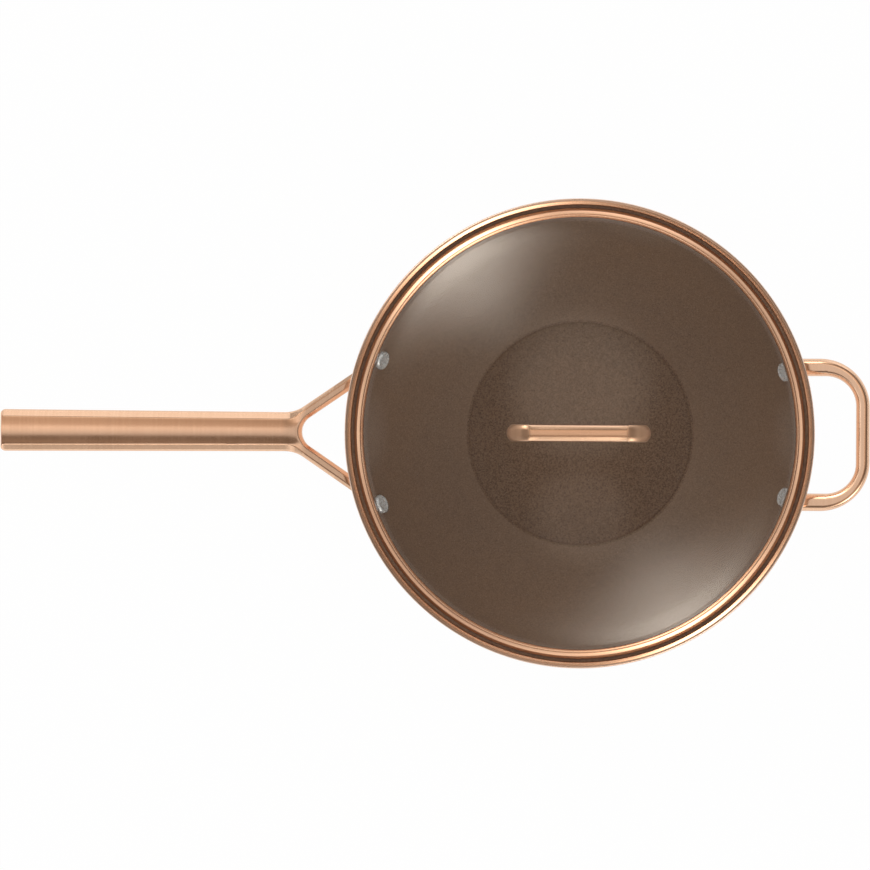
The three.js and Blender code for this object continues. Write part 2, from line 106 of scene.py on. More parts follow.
# A plate over an outline: rings drawn in by the section's (inset, level), cut across where it has to bend.
# The edge is as wide as edge() says along x and y. Where the share that rounding() gives is 1, the section
# is a superellipse of the power that it gives.
def plate(outline, section, edge, place, cuts=(), rounding=lambda point: (0, 2)):
    count = len(outline)
    inward = []
    for i, point in enumerate(outline):
        before = (point - outline[i - 1]).normalized()
        after = (outline[(i + 1) % count] - point).normalized()
        across = Vector((-before.y - after.y, before.x + after.x)) / (1 + before.dot(after))
        inward.append(Vector(width * part for width, part in zip(edge(point), across)))
    bm = bmesh.new()
    rings = []
    for inset, level in section:
        ring = []
        for point, side in zip(outline, inward):
            share, power = rounding(point)
            oval = 1 - (1 - abs(level) ** power) ** (1 / power)
            drawn = inset + (oval - inset) * share
            spot = point + side * drawn
            ring.append(bm.verts.new((spot.x, spot.y, level)))
        rings.append(ring)
    for low, high in zip(rings, rings[1:]):
        for i in range(count):
            n = (i + 1) % count
            bm.faces.new((low[i], low[n], high[n], high[i]))
    bm.faces.new(rings[-1])
    bm.faces.new(rings[0][::-1])
    for across, spots in cuts:
        for spot in spots:
            everything = bm.verts[:] + bm.edges[:] + bm.faces[:]
            bmesh.ops.bisect_plane(bm, geom=everything, plane_co=Vector(across) * spot, plane_no=across)
    for vert in bm.verts:
        vert.co = place(*vert.co)
    bmesh.ops.recalc_face_normals(bm, faces=bm.faces)
    return bm


# Half a section from the widest point to the face, as shares of its edge and half thickness
def halfSection(corners):
    points = roundCorners(corners, closed=False, step=7)
    wide, high = points[-1]
    return [(x / wide, y / high) for x, y in points]


def ellipseSection(steps):
    turns = [math.pi / 2 * k / steps for k in range(steps + 1)]
    return [(1 - math.cos(turn), math.sin(turn)) for turn in turns]


def bothFaces(upper, lower):
    return [(inset, -level) for inset, level in reversed(lower[1:])] + upper


def combine(first, second, operation):
    pieces = []
    for bm in (first, second):
        mesh = bpy.data.meshes.new("working")
        bm.to_mesh(mesh)
        bm.free()
        piece = bpy.data.objects.new("working", mesh)
        scene.collection.objects.link(piece)
        pieces.append(piece)
    cut = pieces[0].modifiers.new("cut", "BOOLEAN")
    cut.object, cut.operation, cut.solver = pieces[1], operation, "EXACT"
    result = bmesh.new()
    result.from_object(pieces[0], bpy.context.evaluated_depsgraph_get())
    for piece in pieces:
        bpy.data.meshes.remove(piece.data)
    return result


# A plain round plug between two levels, to cut with
def plug(radius, low, high, around=48):
    return turned([(0, low), (radius, low), (radius, high), (0, high)], around=around)


def addPiece(name, bm, materials, body, slot, node, sharp=32):
    mesh = bpy.data.meshes.new(name)
    bm.transform(Matrix.Scale(mm, 4))
    bm.to_mesh(mesh)
    bm.free()
    mesh.shade_smooth()
    mesh.set_sharp_from_angle(angle=math.radians(sharp))
    for material in materials:
        mesh.materials.append(material)
    piece = bpy.data.objects.new(name, mesh)
    scene.collection.objects.link(piece)
    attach(piece, body)
    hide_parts(node)
    return piece


# Materials

def addNode(tree, kind, inputs=None, **settings):
    node = tree.nodes.new(kind if kind.startswith("NodeGroup") else "ShaderNode" + kind)
    for key, value in settings.items():
        setattr(node, key, value)
    for key, value in (inputs or {}).items():
        if isinstance(value, bpy.types.NodeSocket):
            tree.links.new(value, node.inputs[key])
        else:
            node.inputs[key].default_value = value
    return node


def math2(tree, operation, a, b=0.0):
    return addNode(tree, "Math", {0: a, 1: b}, operation=operation).outputs[0]


def spread(tree, value, low, high, fromLow=0.0, fromHigh=1.0):
    limits = {"From Min": fromLow, "From Max": fromHigh, "To Min": low, "To Max": high}
    return addNode(tree, "MapRange", {"Value": value, **limits}).outputs["Result"]


def blendColor(tree, share, first, second):
    made = addNode(tree, "Mix", {"Factor": share}, data_type="RGBA")
    for socket, color in ((made.inputs[6], first), (made.inputs[7], second)):
        if isinstance(color, bpy.types.NodeSocket):
            tree.links.new(color, socket)
        else:
            socket.default_value = (*color, 1)
    return made.outputs[2]


def newGroup(name, inputs, outputs):
    group = bpy.data.node_groups.new(name, "ShaderNodeTree")
    for title, kind in inputs:
        group.interface.new_socket(title, in_out="INPUT", socket_type="NodeSocket" + kind)
    for title, kind in outputs:
        group.interface.new_socket(title, in_out="OUTPUT", socket_type="NodeSocket" + kind)
    return group, addNode(group, "NodeGroupInput"), addNode(group, "NodeGroupOutput")


def stretched(tree, vector, by):
    return addNode(tree, "VectorMath", {0: vector, 1: by}, operation="MULTIPLY").outputs[0]


# Distance from the Z axis of a vector that has been split
def fromAxis(tree, split):
    squares = [math2(tree, "POWER", split.outputs[axis], 2.0) for axis in "XY"]
    return math2(tree, "SQRT", math2(tree, "ADD", *squares))


# A group of lines: fine ones put out as grain, broad ones as streaks
lineOutputs = [("Grain", "Float"), ("Streaks", "Float")]


def putOutLines(group, end, fine, broad):
    grain = addNode(group, "TexNoise", {"Vector": fine, "Scale": 1, "Detail": 3, "Roughness": 0.6})
    streaks = addNode(group, "TexNoise", {"Vector": broad, "Scale": 1, "Detail": 2, "Roughness": 0.5})
    group.links.new(grain.outputs["Fac"], end.inputs["Grain"])
    group.links.new(streaks.outputs["Fac"], end.inputs["Streaks"])


# Straight brushed lines; the stretch says how many noise cells a metre holds each way
def makeBrushed():
    inputs = [("Vector", "Vector"), ("Stretch", "Vector")]
    group, start, end = newGroup("brushedGrain", inputs, lineOutputs)
    fine = stretched(group, start.outputs["Vector"], start.outputs["Stretch"])
    putOutLines(group, end, fine, stretched(group, fine, (0.45, 0.4, 0.17)))
    return group


# Lines left by turning, round the Z axis
def makeTurned():
    inputs = [("Vector", "Vector"), ("Lines", "Float")]
    group, start, end = newGroup("turnedLines", inputs, lineOutputs)
    split = addNode(group, "SeparateXYZ", {0: start.outputs["Vector"]})
    radius = math2(group, "MULTIPLY", fromAxis(group, split), start.outputs["Lines"])
    height = math2(group, "MULTIPLY", split.outputs["Z"], start.outputs["Lines"])
    angle = math2(group, "ARCTAN2", split.outputs["Y"], split.outputs["X"])
    around = math2(group, "MULTIPLY", angle, 2.2)
    fine = addNode(group, "CombineXYZ", {0: radius, 1: height, 2: around}).outputs[0]
    putOutLines(group, end, fine, stretched(group, fine, (0.15, 0.15, 0.7)))
    return group


# Faint cloudy patches from handling
def makeHandled():
    inputs = [("Vector", "Vector"), ("Size", "Float")]
    group, start, end = newGroup("handledPatches", inputs, [("Patches", "Float")])
    cells = math2(group, "DIVIDE", 1.0, start.outputs["Size"])
    noise = {"Scale": cells, "Detail": 4, "Roughness": 0.55, "Distortion": 0.4}
    cloud = addNode(group, "TexNoise", {"Vector": start.outputs["Vector"], **noise})
    group.links.new(spread(group, cloud.outputs["Fac"], 0.0, 1.0, 0.32, 0.68), end.inputs["Patches"])
    return group


brushed, turnedLines, handled = makeBrushed(), makeTurned(), makeHandled()


def newMaterial(name):
    material = bpy.data.materials.new(name)
    material.use_nodes = True
    tree = material.node_tree
    return material, tree, tree.nodes["Principled BSDF"], addNode(tree, "TexCoord").outputs["Object"]


# A metal with a directional grain: colour, roughness and a faint relief follow it. A look with
# bends is duller past them and painted darker there, a painted shade that stands in for dark reflections.
def grainedMetal(name, look, group, groupInputs):
    material, tree, shader, where = newMaterial(name)
    lines = addNode(tree, "Group", {"Vector": where, **groupInputs}, node_tree=group)
    marks = addNode(tree, "Group", {"Vector": where, "Size": look["patchSize"] * mm}, node_tree=handled)
    streaks = spread(tree, lines.outputs["Streaks"], 0.0, 1.0, 0.3, 0.7)
    tone = blendColor(tree, streaks, look["dark"], look["light"])
    grainRough = spread(tree, lines.outputs["Grain"], -look["roughSpread"], look["roughSpread"])
    patchRough = spread(tree, marks.outputs["Patches"], -look["patchRough"], look["patchRough"])
    rough = math2(tree, "ADD", math2(tree, "ADD", grainRough, look["roughness"]), patchRough)
    # painted shade: past the bends the colour is pulled toward a dark brown, in place of dark reflections;
    # the added roughness is real
    if "bends" in look:
        first, last = look["bends"]
        along = math2(tree, "ABSOLUTE", addNode(tree, "SeparateXYZ", {0: where}).outputs["X"])
        bent = spread(tree, along, 0.0, 1.0, first * mm, last * mm)
        tone = blendColor(tree, math2(tree, "MULTIPLY", bent, look["bendTone"]), tone, look["deep"])
        rough = math2(tree, "ADD", rough, math2(tree, "MULTIPLY", bent, look["bendRough"]))
    height = {"Height": lines.outputs["Grain"], "Distance": metalRelief * mm}
    relief = addNode(tree, "Bump", {"Strength": look["relief"], **height})
    tree.links.new(tone, shader.inputs["Base Color"])
    tree.links.new(rough, shader.inputs["Roughness"])
    tree.links.new(relief.outputs["Normal"], shader.inputs["Normal"])
    shader.inputs["Metallic"].default_value = look["metallic"]
    return material


# depths of the relief in millimetres
metalRelief, coatRelief = 0.02, 0.03
fineLines = {"Lines": 1500.0}

# the dark brown in this look is the painted shade that a look with bends gets past them
copperLook = {
    "light": (0.96, 0.645, 0.45), "dark": (0.925, 0.605, 0.415), "deep": (0.24, 0.13, 0.07), "metallic": 1,
    "roughness": 0.18, "roughSpread": 0.03, "relief": 0.012, "patchSize": 30, "patchRough": 0.02,
}
copperHandle = grainedMetal("satin copper", copperLook, brushed, {"Stretch": (1600, 60, 300)})

# the lid bar gets painted shade past its bends
barLook = dict(copperLook, roughness=0.22, bends=(30, 40), bendTone=0.66, bendRough=0.32)
copperBar = grainedMetal("polished copper", barLook, brushed, {"Stretch": (60, 1600, 1600)})

skinLook = dict(copperLook, light=(0.95, 0.73, 0.6), dark=(0.9, 0.67, 0.54), roughness=0.28, relief=0.03)
copperSkin = grainedMetal("copper skin", skinLook, turnedLines, fineLines)

bandLook = dict(copperLook, light=(0.96, 0.61, 0.41), dark=(0.9, 0.54, 0.35), roughness=0.2, relief=0.01)
copperBand = grainedMetal("copper band", bandLook, turnedLines, fineLines)

# darker, duller copper for the band's outer side: the darker colour is painted shade, the roughness is its
# own
shadedSideLook = dict(copperLook, light=(0.6, 0.37, 0.23), dark=(0.5, 0.3, 0.18), roughness=0.45)
copperShadedSide = grainedMetal("copper with painted shade", shadedSideLook, turnedLines, fineLines)

rivetLook = {
    "light": (0.8, 0.81, 0.82), "dark": (0.6, 0.605, 0.61), "metallic": 0.72,
    "roughness": 0.26, "roughSpread": 0.06, "relief": 0.06, "patchSize": 6, "patchRough": 0.06,
}
rivetMetal = grainedMetal("rivet metal", rivetLook, brushed, {"Stretch": (260, 1700, 1700)})

discLook = {
    "light": (0.66, 0.65, 0.63), "dark": (0.5, 0.49, 0.47), "metallic": 1,
    "roughness": 0.3, "roughSpread": 0.08, "relief": 0.5, "patchSize": 25, "patchRough": 0.04,
}
discSteel = grainedMetal("turned steel", discLook, turnedLines, {"Lines": 900.0})

screwLook = dict(discLook, roughness=0.22, relief=0.15, patchSize=5)
screwSteel = grainedMetal("bright steel", screwLook, brushed, {"Stretch": (900, 900, 200)})


def makeCoating(floorRadius):
    look = {
        "light": (0.19, 0.11, 0.067), "dark": (0.074, 0.04, 0.023), "fleck": (0.25, 0.16, 0.108),
        "grain": 1000, "flecks": 750, "fleckShare": 0.55, "relief": 0.12,
        "roughness": 0.46, "roughSpread": 0.03, "shine": 0.35, "patchSize": 45,
        # the paler ring at the floor's edge is a painted highlight
        "wornTo": 90, "worn": 0.3, "wall": 0.18,
    }
    material, tree, shader, where = newMaterial("speckled coating")
    marks = addNode(tree, "Group", {"Vector": where, "Size": look["patchSize"] * mm}, node_tree=handled)
    fine = addNode(tree, "TexNoise", {"Vector": where, "Scale": look["grain"], "Detail": 4, "Roughness": 0.7})
    flecks = addNode(tree, "TexVoronoi", {"Vector": where, "Scale": look["flecks"], "Randomness": 1})
    grain = spread(tree, fine.outputs["Fac"], 0.0, 1.0, 0.35, 0.65)
    tone = blendColor(tree, grain, look["dark"], look["light"])
    isFleck = spread(tree, flecks.outputs["Distance"], look["fleckShare"], 0.0, 0.12, 0.3)
    tone = blendColor(tree, isFleck, tone, look["fleck"])
    # paler on the wall, most where it leaves the floor: there it is a painted highlight ring
    radius = fromAxis(tree, addNode(tree, "SeparateXYZ", {0: where}))
    outside = math2(tree, "GREATER_THAN", radius, floorRadius * mm)
    paler = spread(tree, radius, look["worn"], look["wall"], floorRadius * mm, look["wornTo"] * mm)
    tone = blendColor(tree, math2(tree, "MULTIPLY", paler, outside), tone, look["fleck"])
    tree.links.new(tone, shader.inputs["Base Color"])
    handling = spread(tree, marks.outputs["Patches"], -look["roughSpread"], look["roughSpread"])
    tree.links.new(math2(tree, "ADD", handling, look["roughness"]), shader.inputs["Roughness"])
    shader.inputs["Specular IOR Level"].default_value = look["shine"]
    height = {"Height": fine.outputs["Fac"], "Distance": coatRelief * mm}
    relief = addNode(tree, "Bump", {"Strength": look["relief"], **height})
    tree.links.new(relief.outputs["Normal"], shader.inputs["Normal"])
    return material


def makeGlass():
    look = {
        "clean": (0.985, 0.995, 0.99), "touched": (0.97, 0.985, 0.98), "patchSize": 60, "patchRough": 0.012,
        "ior": 1.5, "passing": (0.92, 0.93, 0.925),
    }
    material, tree, shader, where = newMaterial("clear glass")
    marks = addNode(tree, "Group", {"Vector": where, "Size": look["patchSize"] * mm}, node_tree=handled)
    tone = blendColor(tree, marks.outputs["Patches"], look["clean"], look["touched"])
    tree.links.new(tone, shader.inputs["Base Color"])
    rough = spread(tree, marks.outputs["Patches"], 0.0, look["patchRough"])
    tree.links.new(rough, shader.inputs["Roughness"])
    shader.inputs["Transmission Weight"].default_value = 1
    shader.inputs["IOR"].default_value = look["ior"]
    # lamps and bounced light reach what is under the glass
    rays = addNode(tree, "LightPath")
    passing = math2(tree, "MAXIMUM", rays.outputs["Is Shadow Ray"], rays.outputs["Is Diffuse Ray"])
    clear = addNode(tree, "BsdfTransparent", {"Color": (*look["passing"], 1)})
    both = addNode(tree, "MixShader", {0: passing, 1: shader.outputs[0], 2: clear.outputs[0]})
    tree.links.new(both.outputs[0], tree.nodes["Material Output"].inputs["Surface"])
    return material


def makeSilicone():
    look = {
        "dark": (0.05, 0.045, 0.042), "light": (0.075, 0.068, 0.062), "grain": 2500, "relief": 0.2,
        "roughness": 0.75,
    }
    material, tree, shader, where = newMaterial("moulded silicone")
    fine = addNode(tree, "TexNoise", {"Vector": where, "Scale": look["grain"], "Detail": 2})
    tone = blendColor(tree, fine.outputs["Fac"], look["dark"], look["light"])
    tree.links.new(tone, shader.inputs["Base Color"])
    height = {"Height": fine.outputs["Fac"], "Distance": coatRelief * mm}
    relief = addNode(tree, "Bump", {"Strength": look["relief"], **height})
    tree.links.new(relief.outputs["Normal"], shader.inputs["Normal"])
    shader.inputs["Roughness"].default_value = look["roughness"]
    return material


glass, silicone = makeGlass(), makeSilicone()
print("materials made")


# Bowl

bowl = {
    "floor": 75.2, "mouth": 144.5, "wallStart": 25, "wall": 2.8, "floorThickness": 4.5,
    "ledge": 4, "ledgeFillet": 1.2, "coatedTo": 0.5, "creaseWidth": 2.4, "creaseDepth": 0.5, "lip": 4,
    "lipHeight": 4.4, "lipFlare": 0.1, "lipFall": 0.4, "lipRound": 1, "lipBevel": 2, "bevelFall": 0.62,
}
coating = makeCoating(bowl["floor"])
discTop = levels("base_disc")[1]
lipTop = levels("wok_bowl")[1]
floorLevel = discTop + bowl["floorThickness"]
ledgeLevel = lipTop - bowl["lipHeight"]
lipInner = bowl["mouth"] + bowl["ledge"] + bowl["lipFlare"]
lipOuter = lipInner + bowl["lip"]

# the wall is one arc in section
wallStart = math.radians(bowl["wallStart"])
wallRun = bowl["mouth"] - bowl["floor"]
wallEnd = 2 * math.atan2(ledgeLevel - floorLevel, wallRun) - wallStart
wallCurve = wallRun / (math.sin(wallEnd) - math.sin(wallStart))
wallCentre = (bowl["floor"] - wallCurve * math.sin(wallStart), floorLevel + wallCurve * math.cos(wallStart))


def wallPoint(slope, outside):
    reach = wallCurve + outside
    return wallCentre[0] + reach * math.sin(slope), wallCentre[1] - reach * math.cos(slope)


def wallSlope(level, outside):
    return math.acos((wallCentre[1] - level) / (wallCurve + outside))


def wallArc(first, last, outside, steps=28):
    return [wallPoint(first + (last - first) * k / steps, outside) for k in range(steps + 1)]


# Placement on the wall's inner face, Z out through the wall and Y up it
def wallFrame(azimuth, level):
    slope = wallSlope(level, 0)
    out = Vector((math.sin(slope), 0, -math.cos(slope)))
    along = Vector((0, 1, 0))
    placed = Matrix((along, out.cross(along), out)).transposed().to_4x4()
    placed.translation = (wallPoint(slope, 0)[0], 0, level)
    return Matrix.Rotation(azimuth, 4, "Z") @ placed


# Moves a point along a direction until it stands off the wall's inner face by a distance
def standOff(point, direction, distance):
    spot = Vector(point)
    for _ in range(8):
        flat = math.hypot(spot.x, spot.y)
        away, rise = flat - wallCentre[0], spot.z - wallCentre[1]
        reach = math.hypot(away, rise)
        normal = Vector((spot.x / flat * away, spot.y / flat * away, rise)) / reach
        spot += direction * (distance - (reach - wallCurve)) / max(0.3, direction.dot(normal))
    return spot


def wallDistance(point):
    return math.hypot(math.hypot(point.x, point.y) - wallCentre[0], point.z - wallCentre[1]) - wallCurve


def makeBowl():
    skin = bowl["wall"]
    shoulder = ledgeLevel - skin
    ledgeOuter = bowl["mouth"] + bowl["ledge"]
    crease = bowl["creaseWidth"] / 2
    profile = roundCorners([
        (0, discTop),
        *wallArc(wallSlope(discTop, skin), wallSlope(shoulder, skin), skin),
        (ledgeOuter + skin, shoulder, bowl["ledgeFillet"] + skin),
        (lipOuter, lipTop - bowl["lipFall"], bowl["lipRound"]),
        (lipInner + bowl["lipBevel"], lipTop, 0.5),
        (lipInner, lipTop - bowl["lipBevel"] * bowl["bevelFall"], 0.3),
        (ledgeOuter, ledgeLevel, bowl["ledgeFillet"]),
        (bowl["mouth"] + 0.3, ledgeLevel),
        (bowl["mouth"], ledgeLevel - 0.3),
        *wallArc(wallEnd, wallStart, 0)[1:-1],
        (bowl["floor"], floorLevel, 0.5),
        (bowl["floor"] - crease, floorLevel - bowl["creaseDepth"], 0.9),
        (bowl["floor"] - 2 * crease, floorLevel, 0.8),
        (bowl["floor"] * 0.66, floorLevel),
        (bowl["floor"] * 0.33, floorLevel),
        (0, floorLevel),
    ], closed=False)
    # the bevel and the lip's inner side are bare copper, and the coating starts on the ledge
    coatTop = ledgeLevel + bowl["coatedTo"]
    edge = max(range(len(profile)), key=lambda i: profile[i].y)
    coated = next(i for i in range(edge, len(profile)) if profile[i].y < coatTop)
    bm = turned(profile, around=192, zone=lambda i: 0 if i >= coated else 1 if i < edge else 2)
    addPiece("wokBowl", bm, [coating, copperSkin, copperBand], "wok", "coated_bowl", "wok_bowl")


makeBowl()


def makeBase():
    disc = {"margin": 2.8, "chamfer": 1.2, "grooves": 6, "grooveWidth": 1.6, "grooveDepth": 0.25}
    radius = wallPoint(wallSlope(discTop, bowl["wall"]), bowl["wall"])[0] - disc["margin"]
    profile = [(0, 0)]
    for k in range(1, disc["grooves"] + 1):
        middle = radius * k / (disc["grooves"] + 1)
        half, depth = disc["grooveWidth"] / 2, disc["grooveDepth"]
        groove = [(-half, 0), (-half / 2, depth), (half / 2, depth), (half, 0)]
        profile += [(middle + out, level) for out, level in groove]
    profile += [(radius - disc["chamfer"], 0, 0.3), (radius, disc["chamfer"], 0.5)]
    profile += [(radius, discTop), (0, discTop)]
    bm = turned(roundCorners(profile, closed=False), around=160)
    addPiece("baseDisc", bm, [discSteel], "wok", "base_steel", "base_disc")


makeBase()
print("bowl and base made")


# Rivets

rivet = {
    "head": 6.2, "headHeight": 1.6, "headRound": 1.5, "headGap": 0.6,
    "dish": 0.45, "dishFrom": 0.55, "dishTo": 0.78,
    "shank": 3, "tail": 4.6, "tailHeight": 2, "tailRound": 1.5, "pocketRoom": 0.5,
}
gap = 0.3  # between faces that rest on each other
armRoom = 0.5  # between a handle's arms and the wall
cutReach = 30  # how far a cut runs out past what it cuts
rivetPieces = []


def makeRivet(node, placed, foot):
    top = -rivet["headGap"] - rivet["headHeight"]
    tailUnder = bowl["wall"] + gap + foot + 0.02
    tailTop = tailUnder + gap + rivet["tailHeight"]
    profile = roundCorners([
        (0, top + rivet["dish"]),
        (rivet["head"] * rivet["dishFrom"], top + rivet["dish"], 2),
        (rivet["head"] * rivet["dishTo"], top, 1),
        (rivet["head"], top + 0.1, rivet["headRound"]),
        (rivet["head"], -0.1),
        (rivet["shank"], -0.1),
        (rivet["shank"], tailUnder),
        (rivet["tail"], tailUnder),
        (rivet["tail"], tailTop, rivet["tailRound"]),
        (0, tailTop),
    ], closed=False)
    bm = turned(profile, around=48)
    bm.transform(placed)
    name = "".join(part.capitalize() for part in node.split("_"))
    piece = addPiece(name[0].lower() + name[1:], bm, [rivetMetal], "wok", "rivet_metal", node)
    rivetPieces.append(piece.name)


# Round pads against the wall, joined to a handle and spot-faced for the rivets' tails
def withFeet(bm, places, foot):
    face = bowl["wall"] + gap + foot["thickness"]
    for placed in places:
        out = placed.to_3x3() @ Vector((0, 0, 1))
        radius = foot["radius"]
        profile = [(0, 0), (radius / 2, 0), (radius, 0), (radius, face, foot["round"]), (0, face)]
        pad = turned(roundCorners(profile, closed=False), around=48)
        for vert in pad.verts:
            onBack = abs(vert.co.z) < 1e-6
            vert.co = placed @ vert.co
            if onBack:
                vert.co = standOff(vert.co, out, bowl["wall"] + gap)
        bm = combine(bm, pad, "UNION")
    for placed in places:
        pocket = plug(rivet["tail"] + rivet["pocketRoom"], face + 0.01, face + cutReach)
        pocket.transform(placed)
        bm = combine(bm, pocket, "DIFFERENCE")
    return bm


# Long handle

long = {
    "rivetTurn": 20, "rivetDrop": 18.1, "foot": {"radius": 9, "thickness": 5, "round": 1.6},
    "armLift": 5.2, "armWidth": 8.2, "armThickness": 9.6, "armRise": 14, "armFlat": 0.6, "armPower": 3.4,
    "reach": 43.3, "forkFillet": 11.4, "forkShoulder": 21, "forkWidth": 25.3,
    "length": 177.4, "rise": 9, "endWidth": 27, "endThickness": 14, "endCorner": 3.2, "endEdge": 1.3,
    "edge": 5.2, "lowerEdge": 0.97, "crown": 0.8, "shoulderFall": (4.2, 3.8),
    "halfHeight": 6, "side": 2.8, "sideRound": 3, "flatFrom": 4.4, "flatRound": 0.8,
    "gripStep": 12, "forkStep": 2.5, "ribStep": 1.3,
}


def makeLongHandle():
    turn = math.radians(long["rivetTurn"])
    rivetLevel = ledgeLevel - long["rivetDrop"]
    rivetRadius = wallPoint(wallSlope(rivetLevel, 0), 0)[0]
    rivetX, rivetY = -rivetRadius * math.cos(turn), rivetRadius * math.sin(turn)
    forkX = -lipOuter - long["reach"]
    endX = forkX - long["length"]
    splay = math.atan2(rivetY, rivetX - forkX)
    halfArm, halfFork, halfEnd = long["armWidth"] / 2, long["forkWidth"] / 2, long["endWidth"] / 2
    endCorner = long["endCorner"]
    crotchX = forkX + halfArm / math.sin(splay)
    shoulderX = forkX - halfArm / math.sin(splay) + halfFork / math.tan(splay)
    sideX, sideY = halfArm * math.sin(splay), halfArm * math.cos(splay)
    outline = roundCorners([
        (endX, halfEnd, endCorner),
        (endX, -halfEnd, endCorner),
        (shoulderX, -halfFork, long["forkShoulder"]),
        (rivetX - sideX, -rivetY - sideY),
        (rivetX + sideX, -rivetY + sideY),
        (crotchX, 0, long["forkFillet"]),
        (rivetX + sideX, rivetY - sideY),
        (rivetX - sideX, rivetY + sideY),
        (shoulderX, halfFork, long["forkShoulder"]),
    ], step=5)

    wallLevel = rivetLevel + long["armLift"]
    armEndX = -wallPoint(wallSlope(wallLevel, bowl["wall"]), bowl["wall"])[0] * math.cos(turn)
    bendX = crotchX + long["forkFillet"]
    straightRun, bendRun = armEndX - bendX, bendX - forkX
    armSlope, gripSlope = math.tan(math.radians(long["armRise"])), math.tan(math.radians(long["rise"]))
    sideShare = long["side"] / long["halfHeight"]

    # how far the grip's section has given way to the arms'
    def share(x):
        part = min(max((x - shoulderX + halfArm) / (bendX - shoulderX + halfArm), 0), 1)
        return part * part * (3 - 2 * part)

    def rounding(point):
        return share(point.x), long["armPower"]

    def shoulderWidth(y):
        return long["edge"] * (1 if y > 0 else long["lowerEdge"])

    def edge(point):
        side = shoulderWidth(point.y)
        side += (halfArm - long["armFlat"] / 2 - side) * share(point.x)
        atEnd = point.x < endX + endCorner + 0.1
        return (long["endEdge"] if atEnd else side), side

    def place(x, y, level):
        run = armEndX - x
        bent = min(max(run - straightRun, 0), bendRun)
        past = max(run - straightRun - bendRun, 0)
        spine = wallLevel + armSlope * run - (armSlope - gripSlope) * (bent ** 2 / (2 * bendRun) + past)
        thick = long["armThickness"] + (long["endThickness"] - long["armThickness"]) * run / (armEndX - endX)
        along = min(past / long["length"], 1)
        halfFlat = halfFork + (halfEnd - halfFork) * along - shoulderWidth(y)
        fall = long["crown"] * (1 - share(x)) * min(1, abs(y) / halfFlat) ** 2 * max(level, 0)
        first, last = long["shoulderFall"]
        shoulderFall = first + (last - first) * along
        shoulderFall += (thick / 2 * (1 - sideShare) - shoulderFall) * share(x)
        height = level * thick / 2
        if level > sideShare:
            height = thick / 2 - shoulderFall * (1 - level) / (1 - sideShare)
        elif level > 0:
            height = (thick / 2 - shoulderFall) * level / sideShare
        return Vector((x, y, spine + height - fall))

    upper = halfSection([
        (0, 0),
        (0, long["side"], long["sideRound"]),
        (long["flatFrom"], long["halfHeight"], long["flatRound"]),
        (long["edge"], long["halfHeight"]),
    ])
    section = bothFaces(upper, ellipseSection(8))
    bends = [endX + long["gripStep"] * k for k in range(1, 14)]
    bends += [shoulderX - 8 + long["forkStep"] * k for k in range(20)]
    bends = [x for x in bends if x < armEndX - 8]
    ribs = [long["ribStep"] * k for k in range(-6, 6)]
    cuts = [((1, 0, 0), bends), ((0, 1, 0), ribs)]
    bm = plate(outline, section, edge, place, cuts, rounding)
    clear = bowl["wall"] + armRoom
    for vert in bm.verts:
        if wallDistance(vert.co) < clear:
            back = Vector((-math.cos(splay), math.copysign(math.sin(splay), -vert.co.y), 0))
            vert.co = standOff(vert.co, back, clear)
    places = [wallFrame(math.pi + side * turn, rivetLevel) for side in (1, -1)]
    bm = withFeet(bm, places, long["foot"])
    piece = addPiece("longHandle", bm, [copperHandle], "wok", "handle_copper", "long_handle")
    piece.modifiers.new("flat faces", "WEIGHTED_NORMAL").keep_sharp = True
    for side, placed in zip(("front", "back"), places):
        makeRivet("long_handle_rivet_" + side, placed, long["foot"]["thickness"])


makeLongHandle()
print("long handle made")


# Helper handle

helper = {
    "rivetTurn": 17, "rivetDrop": 14.7, "foot": {"radius": 8.5, "thickness": 4.6, "round": 1.6},
    "armLift": 4.2, "armWidth": 11.4, "gripWidth": 8.9, "reach": 35.5, "width": 99,
    "outerCorner": 32, "innerCorner": 19.5, "thickness": 8.6, "rise": 11, "flat": 0.9,
}


def makeHelper():
    turn = math.radians(helper["rivetTurn"])
    rivetLevel = ledgeLevel - helper["rivetDrop"]
    rootX = wallPoint(wallSlope(rivetLevel, 0), 0)[0] * math.cos(turn)
    outerX = lipOuter + helper["reach"]
    innerX = outerX - helper["gripWidth"]
    outerY = helper["width"] / 2
    innerY = outerY - helper["armWidth"]
    outline = roundCorners([
        (rootX, -outerY),
        (outerX, -outerY, helper["outerCorner"]),
        (outerX, outerY, helper["outerCorner"]),
        (rootX, outerY),
        (rootX, innerY),
        (innerX, innerY, helper["innerCorner"]),
        (innerX, -innerY, helper["innerCorner"]),
        (rootX, -innerY),
    ], step=4)
    wallLevel = rivetLevel + helper["armLift"]
    wallX = wallPoint(wallSlope(wallLevel, bowl["wall"]), bowl["wall"])[0] * math.cos(turn)
    drawn = (helper["gripWidth"] - helper["flat"]) / 2
    rise = math.tan(math.radians(helper["rise"]))

    def place(x, y, level):
        return Vector((x, y, wallLevel + (x - wallX) * rise + level * helper["thickness"] / 2))

    section = bothFaces(ellipseSection(10), ellipseSection(8))
    bm = plate(outline, section, lambda point: (drawn, drawn), place)
    clear = bowl["wall"] + armRoom
    for vert in bm.verts:
        if wallDistance(vert.co) < clear:
            vert.co = standOff(vert.co, Vector((1, 0, 0)), clear)
    places = [wallFrame(side * turn, rivetLevel) for side in (-1, 1)]
    bm = withFeet(bm, places, helper["foot"])
    piece = addPiece("helperHandle", bm, [copperHandle], "wok", "handle_copper", "helper_handle")
    piece.modifiers.new("flat faces", "WEIGHTED_NORMAL").keep_sharp = True
    for side, placed in zip(("front", "back"), places):
        makeRivet("helper_handle_rivet_" + side, placed, helper["foot"]["thickness"])


makeHelper()
print("helper handle made")


# Lid: glass and band

